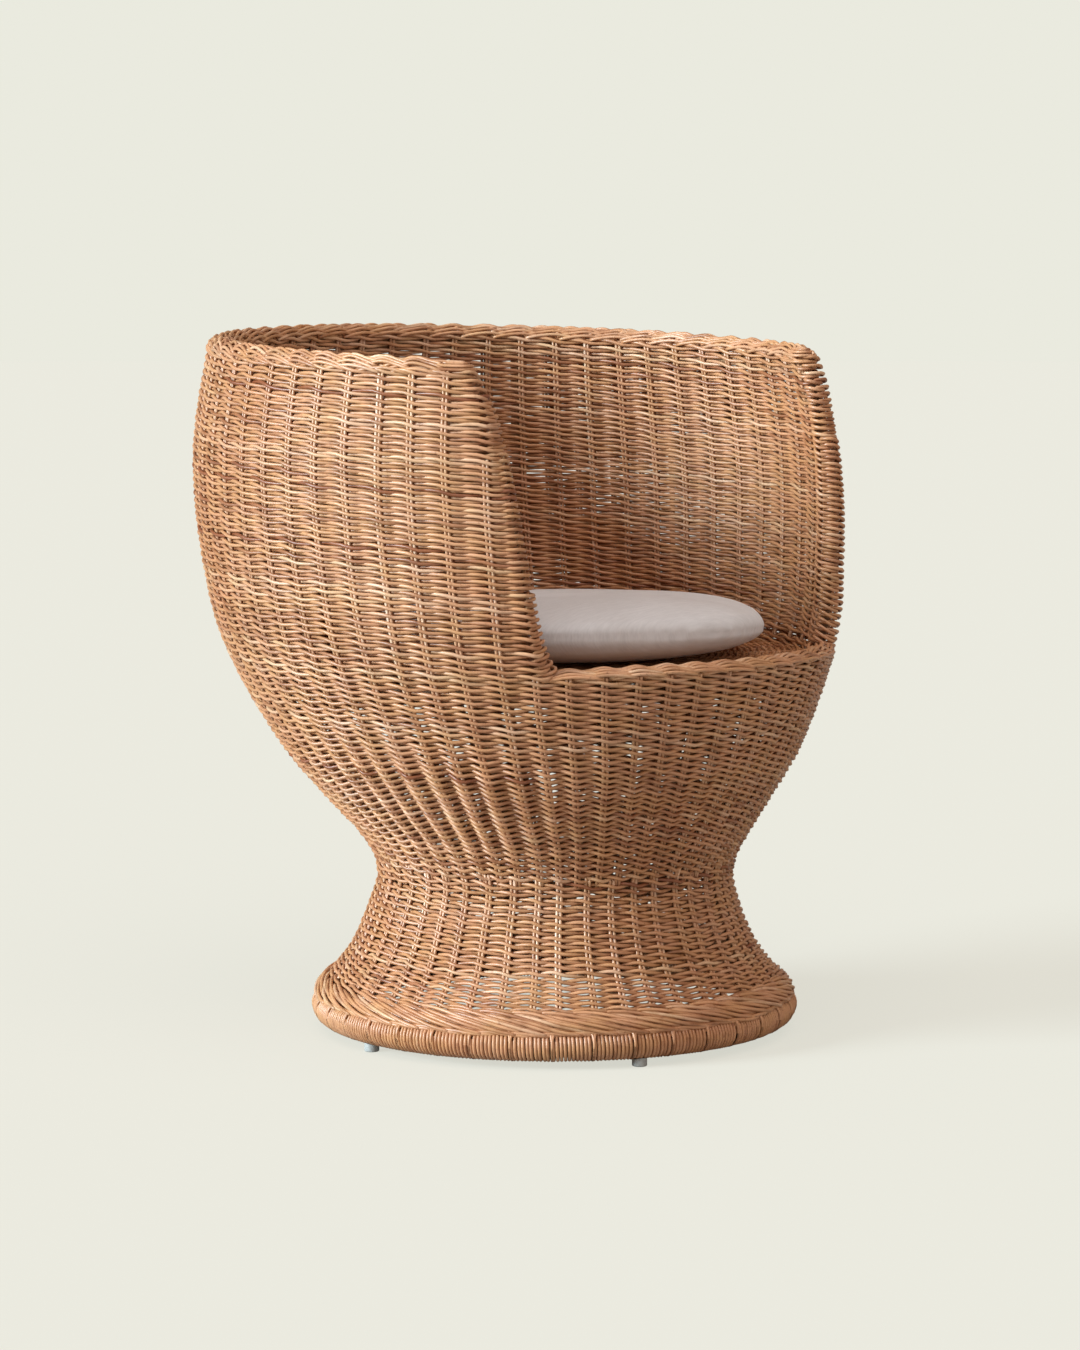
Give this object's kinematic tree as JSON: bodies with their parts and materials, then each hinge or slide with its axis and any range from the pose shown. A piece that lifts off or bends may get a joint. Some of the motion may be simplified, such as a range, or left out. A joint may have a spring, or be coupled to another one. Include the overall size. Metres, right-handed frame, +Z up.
{
  "type": "hanging egg chair",
  "caption": "Free-standing woven cane tub chair with an egg-shaped bucket on a flared pedestal and a loose round seat cushion.",
  "frame": {"origin": "centre of the chair's footprint (its bounding box seen from above), at floor level", "axes": "+Z up; the sitter faces -Y; +X is the sitter's left"},
  "size_m": [0.7664, 0.7656, 0.8238],
  "materials": {
    "woven_cane": "satin",
    "cane_pole": "satin",
    "cushion_fabric": "matt",
    "cushion_filling": "matt",
    "zip_tape": "matt",
    "zip_plastic": "satin",
    "zip_metal": "satin",
    "nail_steel": "satin",
    "glide_plastic": "matt"
  },
  "bodies": {
    "chair": {"apron_border": "woven_cane", "back_rib_1": "cane_pole", "back_rib_2": "cane_pole", "back_rib_3": "cane_pole", "back_rib_4": "cane_pole", "back_rib_5": "cane_pole", "base_ring_pole": "cane_pole", "base_ring_wrapping": "woven_cane", "bowl_weave": "woven_cane", "foot_border": "woven_cane", "foot_glides": "glide_plastic", "glide_nails": "nail_steel", "inner_wall_weave": "woven_cane", "left_arm_edge_band": "woven_cane", "left_arm_post": "cane_pole", "left_seat_slat": "cane_pole", "middle_seat_slat": "cane_pole", "outer_wall_weave": "woven_cane", "pedestal_rib_1": "cane_pole", "pedestal_rib_2": "cane_pole", "pedestal_rib_3": "cane_pole", "pedestal_rib_4": "cane_pole", "pedestal_rib_5": "cane_pole", "pedestal_rib_6": "cane_pole", "rib_nails": "nail_steel", "right_arm_edge_band": "woven_cane", "right_arm_post": "cane_pole", "right_seat_slat": "cane_pole", "rim_border": "woven_cane", "rim_hoop": "cane_pole", "seat_panel": "woven_cane", "seat_ring": "cane_pole", "skirt_weave": "woven_cane", "waist_band": "woven_cane", "waist_hoop": "cane_pole"},
    "cushion": {"cushion_cover": "cushion_fabric", "cushion_insert": "cushion_filling", "zip_tape": "zip_tape", "zip_teeth": "zip_plastic", "zip_end_stops": "zip_plastic"},
    "zip_slider": {"zip_slider": "zip_metal"},
    "zip_pull": {"zip_pull_tab": "zip_metal"}
  },
  "joints": [
    {"name": "cushion_lift", "type": "slide", "parent": "chair", "child": "cushion", "axis": [0, 0, 1], "range_m": [0, 0.45]},
    {"name": "zip_run", "type": "hinge", "parent": "cushion", "child": "zip_slider", "pos_m": [0, -0.0522, 0.4695], "axis": [0, 0, -1], "range_deg": [0, 86]},
    {"name": "zip_pull_flip", "type": "hinge", "parent": "zip_slider", "child": "zip_pull", "pos_m": [-0.17596, 0.13649, 0.4695], "axis": [0.7314, 0.682, 0], "range_deg": [0, 165]}
  ]
}
